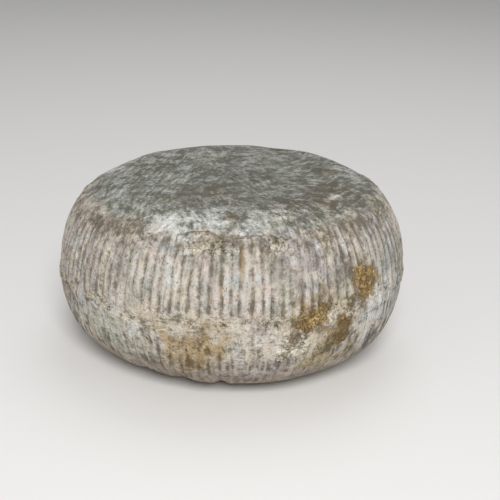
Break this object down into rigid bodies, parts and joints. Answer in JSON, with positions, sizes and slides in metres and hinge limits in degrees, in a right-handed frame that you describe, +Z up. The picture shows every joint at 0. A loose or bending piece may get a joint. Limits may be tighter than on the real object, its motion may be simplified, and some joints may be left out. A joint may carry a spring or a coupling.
{
  "type": "cheese wheel",
  "caption": "Whole aged cheese wheel with a bulging side printed with upright basket ribs, a wavy ledge round a flat sunken top, and a dry, powdery grey rind.",
  "frame": {"origin": "on the resting face, under the middle of the wheel's outline", "axes": "+Z up along the wheel's axis; the wheel's front, as first seen, faces -Y"},
  "size_m": [0.2206, 0.2212, 0.113],
  "materials": {
    "rind": "dry natural cheese rind: grey-beige with cream rib crests, brown grooves, pale powdery bloom and a few ochre patches"
  },
  "bodies": {
    "root": {"cheese_wheel": "rind"}
  },
  "joints": []
}
